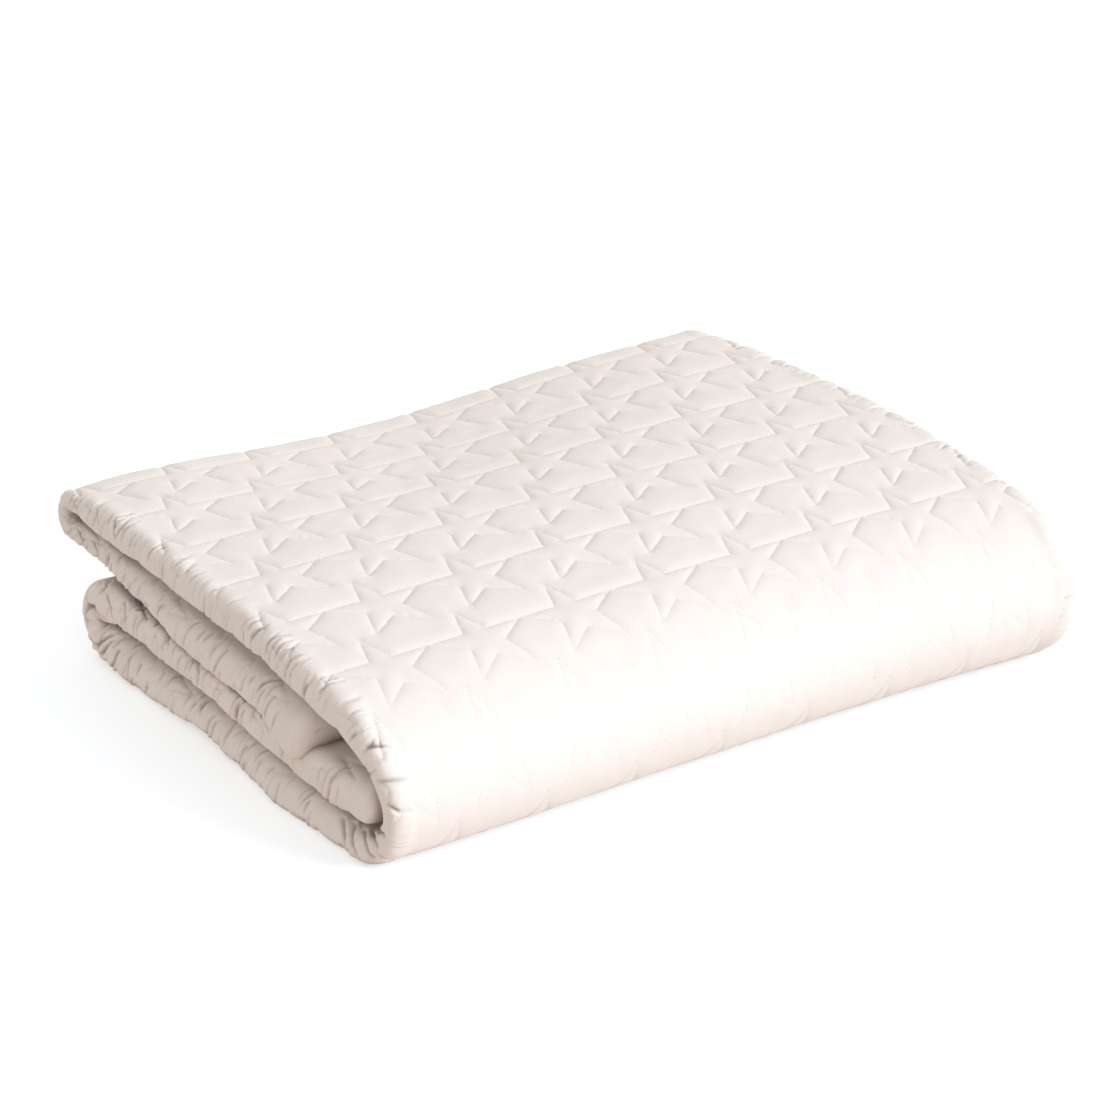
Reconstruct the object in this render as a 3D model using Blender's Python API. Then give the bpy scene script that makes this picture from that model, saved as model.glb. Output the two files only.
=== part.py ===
"""A star-quilted comforter, folded in layers for a shelf.

The comforter is doubled lengthwise into a long strip with a rounded fold
along both of its edges. The strip's two ends are folded to the middle, and
the whole is folded once more. From the left it shows four layers, with one
big round fold at the front and two tighter ones at the back.

Metres, +Z up, X along the big fold, the front at -Y. The strip's skin is laid
out flat, with the sewn stars as lines in it, cut into triangles there, and
then wrapped round the strip's folded middle line and stood on z = 0.
"""
import math

import bmesh
import bpy
import numpy as np
from mathutils import Vector
from mathutils.geometry import delaunay_2d_cdt

# The folded strip: its width across, how deep its round ends are, the skin's girth
# round one end, and how its two free edges and their corners are rounded
LENGTH = 0.660
END_DEPTH = 0.015
END_GIRTH = 0.045
NOSE = 0.016
CORNER = 0.030

# The strip's middle line, from the free edge inside the big fold to the one above it.
# y is counted from the big fold's foot, half is half of the thickness, and left and
# right are how far the strip's two ends stand out there past half of LENGTH
LINE = (
    # layer, y, z, half, left, right
    ("low", -0.015, 0.0510, 0.0145, -0.008, -0.010),
    ("low", 0.050, 0.0496, 0.0146, -0.004, -0.006),
    ("low", 0.120, 0.0480, 0.0140, -0.004, -0.002),
    ("low", 0.230, 0.0515, 0.0138, -0.004, 0.000),
    ("low", 0.340, 0.0530, 0.0145, -0.005, -0.002),
    ("low", 0.393, 0.0525, 0.0140, -0.007, -0.004),
    ("bottom", 0.393, 0.0165, 0.0140, -0.009, -0.002),
    ("bottom", 0.340, 0.0155, 0.0145, -0.009, -0.001),
    ("bottom", 0.230, 0.0155, 0.0145, -0.010, 0.000),
    ("bottom", 0.110, 0.0140, 0.0140, -0.014, 0.001),
    ("bottom", 0.010, 0.0135, 0.0135, -0.010, -0.004),
    ("front", -0.010, 0.0190, 0.0130, -0.009, -0.010),
    ("front", -0.027, 0.0350, 0.0130, -0.009, -0.010),
    ("front", -0.034, 0.0560, 0.0130, -0.008, -0.009),
    ("front", -0.030, 0.0780, 0.0130, -0.006, -0.007),
    ("front", -0.011, 0.0990, 0.0130, -0.005, -0.005),
    ("top", 0.020, 0.1115, 0.0145, -0.003, -0.003),
    ("top", 0.060, 0.1165, 0.0155, -0.001, -0.003),
    ("top", 0.115, 0.1210, 0.0160, -0.001, -0.003),
    ("top", 0.190, 0.1235, 0.0160, -0.001, -0.004),
    ("top", 0.270, 0.1230, 0.0155, -0.003, -0.007),
    ("top", 0.350, 0.1205, 0.0145, -0.007, -0.010),
    ("top", 0.415, 0.1170, 0.0130, -0.011, -0.012),
    ("top", 0.454, 0.1130, 0.0110, -0.015, -0.014),
    ("high", 0.454, 0.0870, 0.0110, -0.015, -0.014),
    ("high", 0.400, 0.0860, 0.0135, -0.012, -0.008),
    ("high", 0.300, 0.0862, 0.0138, -0.006, -0.002),
    ("high", 0.180, 0.0834, 0.0138, -0.004, 0.002),
    ("high", 0.058, 0.0812, 0.0132, -0.008, -0.004),
)
# The tight folds before these layers: the y that the middle line reaches there
FOLD_REACH = {"bottom": 0.411, "high": 0.468}
FOLD_DEPTH = 0.030
FOLD_STEPS = 9
ROUND_PASSES = 3
LINE_STEP = 0.001
TURN_SMOOTHING = 15

# Unevenness of the whole stack round a place x and y, over a reach in x and y:
# rise is a share of the height there, and push moves the stack towards the back
SWELLS = (
    # x, y, reach_x, reach_y, rise, push
    (-0.01, 0.15, 0.22, 0.12, 0.030, 0.000),
    (-0.04, 0.43, 0.17, 0.14, -0.110, 0.000),
    (-0.33, 0.42, 0.16, 0.10, 0.020, 0.000),
    (0.12, -0.03, 0.25, 0.10, 0.000, 0.009),
    (0.33, 0.36, 0.12, 0.16, -0.020, 0.000),
)

# Quilting: upright stars in rows, arm tip to arm tip, every other row moved by half.
# STAR_START is one star's middle on the top layer, at x and y, and the rows count from it.
# The padding stands PUFF above the sewn lines, and PLAIN_PUFF where no lines are cut in
STAR_RADIUS = 0.0425
STAR_PITCH = 2 * STAR_RADIUS * math.cos(math.radians(18))
ROW_PITCH = STAR_RADIUS * (1 + math.cos(math.radians(36)))
STAR_START = (-0.190, 0.040)
STAR_ROWS = (-2, 6)
STAR_COLUMNS = (-3, 8)
PUFF = 0.0030
PLAIN_PUFF = 0.0015
PUFF_REACH = 0.009
PUFF_FADE = 0.020

# Layout of the flat skin: a close grid on the quilted face, wide steps elsewhere,
# and steps of TURN_STEP wherever the strip turns
PUFF_GRID = 0.0145
PUFF_ROW = 0.0126
PUFF_COLUMNS = 45
GRID_MARGIN = 0.004
SEAM_CLEARANCE = 0.0045
SHORTEST_SEAM = 0.002
PLAIN_STEP = 0.020
TURN_STEP = math.radians(16)
FACE_COLUMNS = 3
END_COLUMNS = 5
NOSE_SHARES = (0, 0.1, 0.3, 0.6, 1)
MERGE = 0.00002

FACE_HALF = LENGTH / 2 - END_DEPTH
SKIN_HALF = 2 * FACE_HALF + END_GIRTH


def clear_scene():
    for item in list(bpy.data.objects):
        bpy.data.objects.remove(item, do_unlink=True)


def half_turn(start, end, reach):
    """Rows of a half ellipse from start to end that goes out to y = reach."""
    turn = []
    for step in range(1, FOLD_STEPS):
        angle = math.pi * step / FOLD_STEPS
        row = start + (end - start) * (1 - math.cos(angle)) / 2
        row[0] += (reach - (start[0] + end[0]) / 2) * math.sin(angle)
        turn.append(row)
    return turn


def rounded(rows):
    """The same line with its corners cut, pass after pass, into a smooth one."""
    for _ in range(ROUND_PASSES):
        early = 0.75 * rows[:-1] + 0.25 * rows[1:]
        late = 0.25 * rows[:-1] + 0.75 * rows[1:]
        between = np.stack([early, late], axis=1).reshape(-1, rows.shape[1])
        rows = np.vstack([rows[:1], between, rows[-1:]])
    return rows


def fold_line():
    """Even places along the middle line, and its y, z, half, left and right there."""
    rows = []
    layer = LINE[0][0]
    for name, *values in LINE:
        row = np.array(values)
        if name in FOLD_REACH and name != layer:
            rows += half_turn(rows[-1], row, FOLD_REACH[name])
        layer = name
        rows.append(row)
    rows = rounded(np.array(rows))
    pieces = np.linalg.norm(np.diff(rows[:, :2], axis=0), axis=1)
    run = np.concatenate([[0], np.cumsum(pieces)])
    even = np.linspace(0, run[-1], int(run[-1] / LINE_STEP) + 1)
    return even, np.stack([np.interp(even, run, column) for column in rows.T], axis=1)


class Strip:
    """The folded strip: it places points of its flat skin in space."""

    def __init__(self):
        self.run, line = fold_line()
        self.length = self.run[-1]
        self.y, self.z, self.half, self.left, self.right = line.T
        slope = np.gradient(line[:, :2], self.run, axis=0)
        slope /= np.linalg.norm(slope, axis=1)[:, None]
        self.out_y = -slope[:, 1]
        self.out_z = slope[:, 0]
        turning = np.linalg.norm(np.gradient(slope, self.run, axis=0), axis=1)
        self.turning = np.convolve(turning, np.ones(TURN_SMOOTHING) / TURN_SMOOTHING, mode="same")
        front = np.argmin(self.y)
        back = len(self.y) - 1 - np.argmax(self.y[::-1])
        self.back = self.run[back]
        self.star_start = np.interp(STAR_START[1], self.y[front:back], self.run[front:back])

    def at(self, values, along):
        return np.interp(along, self.run, values)

    def place(self, across, along, lift):
        """across counts from the outer face's middle, and both ways reach the inner one's."""
        side = np.sign(across)
        reach = np.abs(across)
        angle = np.clip((reach - FACE_HALF) / END_GIRTH, 0, 1) * math.pi
        flat = np.where(reach > FACE_HALF + END_GIRTH, SKIN_HALF - reach, np.minimum(reach, FACE_HALF))
        from_edge = np.minimum(along, self.length - along)
        nose = np.sqrt(1 - (1 - np.clip(from_edge / NOSE, 0, 1)) ** 2)
        corner = 1 - np.sqrt(1 - (1 - np.clip(from_edge / CORNER, 0, 1)) ** 2)
        lift = lift * nose
        stand = np.where(side < 0, self.at(self.left, along), self.at(self.right, along))
        stand = (stand - CORNER * corner) * (flat / FACE_HALF) ** 2
        off = (self.at(self.half, along) * nose + lift) * np.cos(angle)
        x = side * (flat + (END_DEPTH + lift) * np.sin(angle) + stand)
        y = self.at(self.y, along) + self.at(self.out_y, along) * off
        z = self.at(self.z, along) + self.at(self.out_z, along) * off
        return swelled(x, y, z)


def swelled(x, y, z):
    """The stack's unevenness, with what lies below the floor pressed flat on it."""
    height = np.ones_like(x)
    shift = np.zeros_like(x)
    for at_x, at_y, reach_x, reach_y, rise, push in SWELLS:
        share = np.exp(-((x - at_x) / reach_x) ** 2 - ((y - at_y) / reach_y) ** 2)
        height += rise * share
        shift += push * share
    return np.stack([x, y + shift, np.maximum(z * height, 0)], axis=1)


def star_outline(middle_x, middle_s):
    """The ten corners of an upright star, from its top tip round."""
    notch = STAR_RADIUS * math.cos(math.radians(72)) / math.cos(math.radians(36))
    corners = []
    for index in range(10):
        radius = notch if index % 2 else STAR_RADIUS
        angle = math.radians(90 + 36 * index)
        corners.append(np.array([middle_x + radius * math.cos(angle),
                                 middle_s + radius * math.sin(angle)]))
    return corners


def cut_to_face(start, end):
    """The part of a sewn line between the strip's two ends, or None."""
    if start[0] > end[0]:
        start, end = end, start
    if end[0] < -FACE_HALF or start[0] > FACE_HALF:
        return None
    way = end - start
    if start[0] < -FACE_HALF:
        start = start + way * (-FACE_HALF - start[0]) / way[0]
    if end[0] > FACE_HALF:
        end = end - way * (end[0] - FACE_HALF) / way[0]
    if np.linalg.norm(end - start) < SHORTEST_SEAM:
        return None
    return start, end


def quilting(strip):
    """The stars' sewn lines on the flat outer face, as pairs of points."""
    seams = []
    for row in range(*STAR_ROWS):
        first = STAR_START[0] + (STAR_PITCH / 2 if row % 2 else 0)
        for column in range(*STAR_COLUMNS):
            outline = star_outline(first + column * STAR_PITCH, strip.star_start + row * ROW_PITCH)
            for start, end in zip(outline, outline[1:] + outline[:1]):
                seam = cut_to_face(start, end)
                if seam:
                    seams.append(seam)
    return seams


def seam_distance(points, seams):
    """How far each flat point lies from the nearest sewn line."""
    nearest = np.full(len(points), LENGTH)
    for start, end in seams:
        way = end - start
        share = np.clip((points - start) @ way / (way @ way), 0, 1)
        nearest = np.minimum(nearest, np.linalg.norm(points - start - share[:, None] * way, axis=1))
    return nearest


def next_place(strip, along, longest):
    """The next place along the strip: at most longest away, and closer where it turns."""
    return along + min(longest, TURN_STEP / max(strip.at(strip.turning, along), 1))


def plain_points(strip, low, high):
    """Points and lines of the skin outside its quilted face, in rows across it."""
    face = np.linspace(0, FACE_HALF, FACE_COLUMNS)
    end = FACE_HALF + END_GIRTH * np.arange(1, END_COLUMNS) / END_COLUMNS
    half = np.concatenate([face, end, SKIN_HALF - face[::-1]])
    columns = np.concatenate([-half[:0:-1], half])
    rows = [share * NOSE for share in NOSE_SHARES]
    while rows[-1] < strip.length - NOSE - LINE_STEP:
        rows.append(min(next_place(strip, rows[-1], PLAIN_STEP), strip.length - NOSE))
    rows += [strip.length - share * NOSE for share in NOSE_SHARES[-2::-1]]
    points = []
    edges = []
    for along in rows:
        quilted = low - 2 * GRID_MARGIN < along < high + 2 * GRID_MARGIN
        last = None
        for across in columns:
            if quilted and abs(across) < FACE_HALF + LINE_STEP:
                last = None
                continue
            if last is not None:
                edges.append((last, len(points)))
            last = len(points)
            points.append((across, along))
    return points, edges


def grid_points(strip, low, high, seams):
    """Points of the quilted face's own close grid, clear of the sewn lines."""
    grid = []
    along = low - GRID_MARGIN
    shift = PUFF_GRID / 4
    while along < high + GRID_MARGIN:
        across = np.linspace(-FACE_HALF, FACE_HALF, PUFF_COLUMNS) + shift
        grid += [(value, along) for value in np.clip(across, -FACE_HALF, FACE_HALF)]
        along = next_place(strip, along, PUFF_ROW)
        shift = -shift
    grid = np.array(grid)
    return [tuple(point) for point in grid[seam_distance(grid, seams) > SEAM_CLEARANCE]]


def puff_height(points, seams, low, high):
    """How far the padding stands up from the sewn lines at each flat point."""
    depth = 1 - np.clip(seam_distance(points, seams) / PUFF_REACH, 0, 1)
    across = np.abs(points[:, 0]) - FACE_HALF
    along = np.minimum(points[:, 1] - low, high - points[:, 1])
    quilted = np.clip(along / PUFF_FADE, 0, 1) * np.clip(1 - across / (END_GIRTH / 2), 0, 1)
    outer = np.clip(1 - across / END_GIRTH, 0, 1)
    return outer * (PLAIN_PUFF * (1 - quilted) + PUFF * (1 - depth ** 2) * quilted)


def flat_skin(strip):
    """Triangles of the flat skin: its points, its faces and each point's lift."""
    seams = quilting(strip)
    low = min(point[1] for seam in seams for point in seam)
    high = max(point[1] for seam in seams for point in seam)
    rear = strip.back + FOLD_DEPTH
    points, edges = plain_points(strip, low, rear)
    points += grid_points(strip, low, rear, seams)
    for start, end in seams:
        turn = abs(end[1] - start[1]) * strip.at(strip.turning, (start[1] + end[1]) / 2)
        pieces = max(2, math.ceil(turn / TURN_STEP))
        edges += [(len(points) + piece, len(points) + piece + 1) for piece in range(pieces)]
        points += [tuple(point) for point in np.linspace(start, end, pieces + 1)]
    flat = [Vector(point) for point in points]
    verts, _, faces, _, _, _ = delaunay_2d_cdt(flat, edges, [], 0, MERGE / 2, False)
    verts = np.array([tuple(vert) for vert in verts])
    return verts, faces, puff_height(verts, seams, low, high)


def cotton():
    material = bpy.data.materials.new("Pale cotton")
    material.use_nodes = True
    shader = material.node_tree.nodes["Principled BSDF"]
    shader.inputs["Base Color"].default_value = (0.80, 0.74, 0.70, 1)
    shader.inputs["Roughness"].default_value = 0.85
    shader.inputs["Metallic"].default_value = 0.0
    return material


def comforter():
    strip = Strip()
    verts, faces, lift = flat_skin(strip)
    places = strip.place(verts[:, 0], verts[:, 1], lift)
    places[:, :2] -= (places[:, :2].min(axis=0) + places[:, :2].max(axis=0)) / 2
    skin = bmesh.new()
    made = [skin.verts.new(place) for place in places]
    for face in faces:
        skin.faces.new([made[index] for index in face])
    bmesh.ops.remove_doubles(skin, verts=skin.verts, dist=MERGE)
    bmesh.ops.recalc_face_normals(skin, faces=skin.faces)
    mesh = bpy.data.meshes.new("comforter")
    skin.to_mesh(mesh)
    skin.free()
    mesh.shade_smooth()
    mesh.materials.append(cotton())
    body = bpy.data.objects.new("comforter", mesh)
    bpy.context.collection.objects.link(body)


clear_scene()
comforter()
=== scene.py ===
"""The looks of a star-quilted comforter that is folded in layers for a shelf.

It is laid out as a Blender add-on and is run as a script. One operator makes the
comforter's two covers as one padded skin, one makes the thread of its stitches,
and one makes the floor, the lights and the camera. Metres, +Z up, X along the
big fold, the front at -Y.

The skin is laid out flat with its sewn stars and cut into small triangles there.
It is wrapped round the folded middle line, as the solid is, and then Blender's
cloth simulation swells it between its seams.
"""

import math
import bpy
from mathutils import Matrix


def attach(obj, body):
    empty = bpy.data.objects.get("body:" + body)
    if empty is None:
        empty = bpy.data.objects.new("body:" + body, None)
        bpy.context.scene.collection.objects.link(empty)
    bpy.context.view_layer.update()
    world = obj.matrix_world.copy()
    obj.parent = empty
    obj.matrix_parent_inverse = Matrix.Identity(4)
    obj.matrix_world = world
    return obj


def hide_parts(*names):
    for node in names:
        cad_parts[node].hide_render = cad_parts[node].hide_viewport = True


bl_info = {
    "name": "Folded star comforter",
    "version": (1, 0, 0),
    "blender": (4, 5, 0),
    "location": "3D View > Sidebar > Comforter",
    "description": "Makes a folded comforter with sewn stars, its stitches and its stage",
    "category": "Object",
}

import bmesh
import bpy
import numpy as np
from bpy.props import FloatProperty, FloatVectorProperty, IntProperty, PointerProperty
from mathutils import Vector
from mathutils.geometry import delaunay_2d_cdt

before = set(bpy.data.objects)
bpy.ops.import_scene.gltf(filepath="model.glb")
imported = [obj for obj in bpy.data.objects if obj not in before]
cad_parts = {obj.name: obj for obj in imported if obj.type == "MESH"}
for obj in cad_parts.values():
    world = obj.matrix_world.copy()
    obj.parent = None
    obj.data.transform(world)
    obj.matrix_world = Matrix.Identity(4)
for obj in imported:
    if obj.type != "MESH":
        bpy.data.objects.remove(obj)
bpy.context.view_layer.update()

# The folded strip, as the solid has it: its width across, how deep its round ends
# are, the skin's girth round one end, and its two rounded free edges and corners
LENGTH = 0.660
END_DEPTH = 0.015
END_GIRTH = 0.045
NOSE = 0.012
CORNER = 0.009
FACE_HALF = LENGTH / 2 - END_DEPTH
SKIN_HALF = 2 * FACE_HALF + END_GIRTH

# An end roll is a little squarer than round, and its lower edge stands out further
ROLL_SQUARE = 0.80
ROLL_LEAN = 0.0030

# Where the foot of the big fold, which LINE counts y from, lies in the frame
FOOT = (-0.0008, -0.2163)

# The strip's middle line, from the free edge inside the big fold to the one above it.
# half is half of the thickness, and left and right are how far the strip's two ends
# stand out there past half of LENGTH
LINE = (
    # layer, y, z, half, left, right
    ("low", -0.015, 0.0510, 0.0145, -0.008, -0.019),
    ("low", 0.050, 0.0496, 0.0146, -0.004, -0.015),
    ("low", 0.120, 0.0480, 0.0140, -0.004, -0.011),
    ("low", 0.230, 0.0515, 0.0138, -0.004, -0.009),
    ("low", 0.340, 0.0530, 0.0145, -0.005, -0.011),
    ("low", 0.393, 0.0525, 0.0140, -0.007, -0.013),
    ("bottom", 0.393, 0.0165, 0.0140, -0.009, -0.011),
    ("bottom", 0.340, 0.0155, 0.0145, -0.009, -0.010),
    ("bottom", 0.230, 0.0155, 0.0145, -0.010, -0.009),
    ("bottom", 0.110, 0.0140, 0.0140, -0.014, -0.008),
    ("bottom", 0.010, 0.0135, 0.0135, -0.010, -0.015),
    ("front", -0.010, 0.0190, 0.0130, -0.009, -0.022),
    ("front", -0.027, 0.0350, 0.0130, -0.009, -0.022),
    ("front", -0.034, 0.0560, 0.0130, -0.008, -0.021),
    ("front", -0.030, 0.0780, 0.0130, -0.006, -0.019),
    ("front", -0.011, 0.0990, 0.0130, -0.005, -0.018),
    ("top", 0.020, 0.1115, 0.0145, -0.003, -0.017),
    ("top", 0.060, 0.1165, 0.0155, -0.001, -0.018),
    ("top", 0.115, 0.1210, 0.0160, -0.001, -0.019),
    ("top", 0.190, 0.1235, 0.0160, -0.001, -0.018),
    ("top", 0.270, 0.1230, 0.0155, -0.003, -0.018),
    ("top", 0.350, 0.1205, 0.0145, -0.007, -0.019),
    ("top", 0.415, 0.1170, 0.0130, -0.011, -0.020),
    ("top", 0.454, 0.1130, 0.0110, -0.015, -0.023),
    ("high", 0.454, 0.0870, 0.0110, -0.015, -0.023),
    ("high", 0.400, 0.0860, 0.0135, -0.012, -0.017),
    ("high", 0.300, 0.0862, 0.0138, -0.006, -0.011),
    ("high", 0.180, 0.0834, 0.0138, -0.004, -0.007),
    ("high", 0.066, 0.0812, 0.0132, -0.008, -0.013),
)
FOLD_REACH = {"bottom": 0.411, "high": 0.468}
FOLD_DEPTH = 0.030
FOLD_STEPS = 9
ROUND_PASSES = 3
LINE_STEP = 0.001
TURN_SMOOTHING = 15

# Unevenness of the whole stack round a place x and y, over a reach in x and y:
# rise is a share of the height there, and push moves the stack towards the back
SWELLS = (
    # x, y, reach_x, reach_y, rise, push
    (-0.01, 0.15, 0.22, 0.12, 0.030, 0.000),
    (-0.04, 0.43, 0.17, 0.14, -0.110, 0.000),
    (-0.33, 0.42, 0.16, 0.10, 0.020, 0.000),
    (0.12, -0.03, 0.25, 0.10, 0.000, 0.009),
    (0.33, 0.36, 0.12, 0.16, -0.020, 0.000),
)

# Places where the ends of the folded strip are pinched, filled or pushed, as hills of
# this reach. side is -1 on the left end and 1 on the right one. past counts along the
# strip from a mark, and around counts from the outer face's edge round the end roll.
# lift swells the skin there, out moves it out from the end, and rise lifts it
PUSHES = (
    # side, mark, past, around, reach_past, reach_around, lift, out, rise
    # The thin upper corner at the back
    (-1, "back", -0.045, 0.020, 0.040, 0.050, -0.0040, 0.002, 0.000),
    (-1, "back", 0.000, 0.020, 0.024, 0.050, -0.0035, 0.004, 0.001),
    (-1, "back", -0.022, 0.003, 0.030, 0.013, 0.0020, 0.000, -0.001),
    # The high layer's lower edge, drawn up at the back, and its drooping free end
    (-1, "back", 0.070, 0.010, 0.060, 0.024, -0.0080, 0.000, 0.000),
    (-1, "back", 0.155, 0.010, 0.040, 0.024, -0.0050, 0.000, 0.000),
    (-1, "back", 0.395, 0.008, 0.035, 0.030, 0.0030, 0.008, -0.009),
    # The open gap below the top layer
    (-1, "back", -0.340, 0.055, 0.070, 0.026, -0.0130, 0.000, 0.000),
    (-1, "back", -0.190, 0.055, 0.080, 0.026, -0.0120, 0.000, 0.000),
    # The low layer's lower edge, drawn up, and the closed crease where it folds
    (-1, "low_back", -0.090, 0.050, 0.050, 0.022, -0.0110, 0.000, 0.000),
    (-1, "low_back", -0.190, 0.050, 0.060, 0.022, -0.0140, 0.000, 0.000),
    (-1, "low_back", -0.290, 0.050, 0.060, 0.022, -0.0050, 0.000, 0.000),
    (-1, "low_back", -0.035, 0.045, 0.022, 0.020, 0.0050, -0.004, 0.000),
    (-1, "low_back", 0.035, 0.045, 0.022, 0.020, 0.0050, -0.002, 0.000),
    # The bottom layer's edge, off the floor in one place and further out in another
    (-1, "low_back", 0.180, 0.005, 0.045, 0.022, -0.0040, 0.000, 0.000),
    (-1, "low_back", 0.310, 0.010, 0.050, 0.030, 0.0000, 0.007, 0.000),
    # The front wall's thin end
    (-1, "front", 0.000, 0.030, 0.070, 0.030, -0.0030, 0.000, 0.000),
)

# Creases that the folds draw in the end rolls, from one place to another as in PUSHES
MAIN_CREASES = (
    # side, mark, past, around, past_end, around_end, bow, depth, width
    # The fan that runs out of the closed crease at the low back
    (-1, "low_back", -0.036, 0.036, -0.008, 0.020, 0.002, 0.0038, 0.0014),
    (-1, "low_back", -0.050, 0.034, 0.006, 0.018, 0.000, 0.0040, 0.0015),
    (-1, "low_back", 0.042, 0.036, 0.014, 0.014, 0.001, 0.0038, 0.0014),
    (-1, "low_back", 0.046, 0.034, 0.022, 0.012, 0.002, 0.0034, 0.0013),
    (-1, "low_back", -0.037, 0.010, -0.060, 0.030, 0.003, 0.0032, 0.0013),
    (-1, "low_back", -0.064, 0.006, -0.081, 0.026, 0.002, 0.0030, 0.0013),
    (-1, "low_back", 0.058, 0.030, 0.042, 0.008, 0.001, 0.0028, 0.0013),
    # The pinched upper corner at the back
    (-1, "back", -0.030, 0.014, -0.046, 0.028, 0.001, 0.0026, 0.0013),
    (-1, "back", -0.072, 0.008, -0.092, 0.028, 0.002, 0.0026, 0.0013),
    (-1, "back", -0.107, 0.006, -0.118, 0.026, 0.001, 0.0026, 0.0013),
    (-1, "back", 0.028, 0.034, 0.050, 0.012, 0.001, 0.0034, 0.0014),
    (-1, "back", 0.052, 0.034, 0.078, 0.012, 0.002, 0.0034, 0.0014),
    # The pleats at the big fold's foot
    (-1, "foot", -0.006, 0.034, 0.012, 0.006, 0.003, 0.0045, 0.0020),
    (-1, "foot", 0.008, 0.038, 0.027, 0.012, -0.002, 0.0050, 0.0022),
    (-1, "foot", 0.022, 0.038, 0.045, 0.012, 0.002, 0.0052, 0.0022),
    (-1, "foot", 0.034, 0.042, 0.056, 0.018, 0.002, 0.0045, 0.0020),
    (-1, "front", -0.036, 0.038, -0.018, 0.018, 0.002, 0.0040, 0.0018),
)

# Smaller creases across the end rolls, more of them where a seam comes to the roll. Each
# has a low ridge beside it
CREASE_SEED = 7
CREASE_PITCH = 0.0032
CREASE_SPREAD = 0.007
CREASE_START = (-0.008, 0.016)
CREASE_UNDER = 0.012
CREASE_LENGTH = (0.010, 0.030)
CREASE_SLANT = (0.20, 0.12)
CREASE_WIDTH = (0.0010, 0.0018)
CREASE_RIDGE = 0.35
CREASE_STEP = 0.0022
CREASE_LINES = {-1: (-1.6, -0.8, 0, 0.8, 1.8), 1: (-1, 0, 1.2)}
CREASE_CLEAR = 0.0007
CREASE_PIN = 0.0015
# How deep a crease must draw the skin in for the shade painted into it to be full
CREASE_SHADE_DEPTH = 0.0030

# Low waves in the filling, and faint upright pulls in the taut front
WAVE_SEED = 13
WAVE_PITCH = (0.07, 0.05)
PULL_SEED = 14
PULL_PITCH = (0.011, 0.070)
PULL_SHARPNESS = 0.25

# How much of a seam's groove goes on the sides of the end rolls
SIDE_SEAM = 0.75

# How far from a seam its stitches pucker the cloth
PUCKER_REACH = 0.004

# Sewn stars in rows, arm tip to arm tip, every other row moved by half of the pitch
STAR_RADIUS = 0.0425
STAR_PITCH = 2 * STAR_RADIUS * math.cos(math.radians(18))
ROW_PITCH = STAR_RADIUS * (1 + math.cos(math.radians(36)))
STAR_START = (-0.190, 0.040)
STAR_ROWS = (-15, 12)
STAR_COLUMNS = (-4, 9)
SEAM_PIECE = 0.0028
HIDDEN_FADE = 0.020

# The key light: degrees right of the front, degrees up, and its spread. HORIZON is the
# height over which the surroundings turn from the ground's light to the sky's
KEY_TURN = 33
KEY_RISE = 24
KEY_SPREAD = 30
HORIZON = 0.35

# How close the skin's points lie
ROLL_STEPS = {-1: 0.0025, 1: 0.0036}
ROLL_ACROSS = 0.0036
FACE_STEP = 0.0048
BOTTOM_STEP = 0.0085
RING = 0.0016
ROLL_CLEAR = 0.0008
PLAIN_STEP = 0.018
ROLL_LEAD = 0.010
ROLL_TAIL = 0.012
FINE_TURN = math.radians(6)
PLAIN_TURN = math.radians(12)
FACE_COLUMNS = 12
INNER_COLUMNS = 9
END_COLUMNS = 14
NOSE_ROWS = 7
MERGE = 0.00002


def half_turn(start, end, reach):
    """Rows of a half ellipse from start to end that goes out to y = reach."""
    turn = []
    for step in range(1, FOLD_STEPS):
        angle = math.pi * step / FOLD_STEPS
        row = start + (end - start) * (1 - math.cos(angle)) / 2
        row[0] += (reach - (start[0] + end[0]) / 2) * math.sin(angle)
        turn.append(row)
    return turn


def rounded(rows):
    """The same line with its corners cut, pass after pass, into a smooth one."""
    for _ in range(ROUND_PASSES):
        early = 0.75 * rows[:-1] + 0.25 * rows[1:]
        late = 0.25 * rows[:-1] + 0.75 * rows[1:]
        between = np.stack([early, late], axis=1).reshape(-1, rows.shape[1])
        rows = np.vstack([rows[:1], between, rows[-1:]])
    return rows


def fold_line():
    """Even places along the middle line, and its y, z, half, left and right there."""
    rows = []
    layer = LINE[0][0]
    for name, *values in LINE:
        row = np.array(values)
        if name in FOLD_REACH and name != layer:
            rows += half_turn(rows[-1], row, FOLD_REACH[name])
        layer = name
        rows.append(row)
    rows = rounded(np.array(rows))
    pieces = np.linalg.norm(np.diff(rows[:, :2], axis=0), axis=1)
    run = np.concatenate([[0], np.cumsum(pieces)])
    even = np.linspace(0, run[-1], int(run[-1] / LINE_STEP) + 1)
    return even, np.stack([np.interp(even, run, column) for column in rows.T], axis=1)


def bell(value, middle, reach):
    """A smooth hill: 1 at the middle, and about a third at reach from it."""
    return np.exp(-((value - middle) / reach) ** 2)


def mixed(random, span, count):
    """As many random values between the two of span."""
    return random.uniform(span[0], span[1], count)


def ramp(value, start, end):
    """0 before start, 1 after end, and smooth between them."""
    share = np.clip((value - start) / (end - start), 0, 1)
    return share * share * (3 - 2 * share)


def soft_noise(across, along, seed):
    """Smooth noise from -1 to 1, with a hill or hollow about every unit both ways."""
    lattice = np.random.default_rng(seed).uniform(-1, 1, (512, 512))
    column = np.floor(across).astype(int)
    row = np.floor(along).astype(int)
    share_x = across - column
    share_y = along - row
    share_x = share_x * share_x * (3 - 2 * share_x)
    share_y = share_y * share_y * (3 - 2 * share_y)
    corners = [lattice[(row + down) % 512, (column + right) % 512]
               for down in (0, 1) for right in (0, 1)]
    upper = corners[0] + (corners[1] - corners[0]) * share_x
    lower = corners[2] + (corners[3] - corners[2]) * share_x
    return upper + (lower - upper) * share_y


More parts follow.
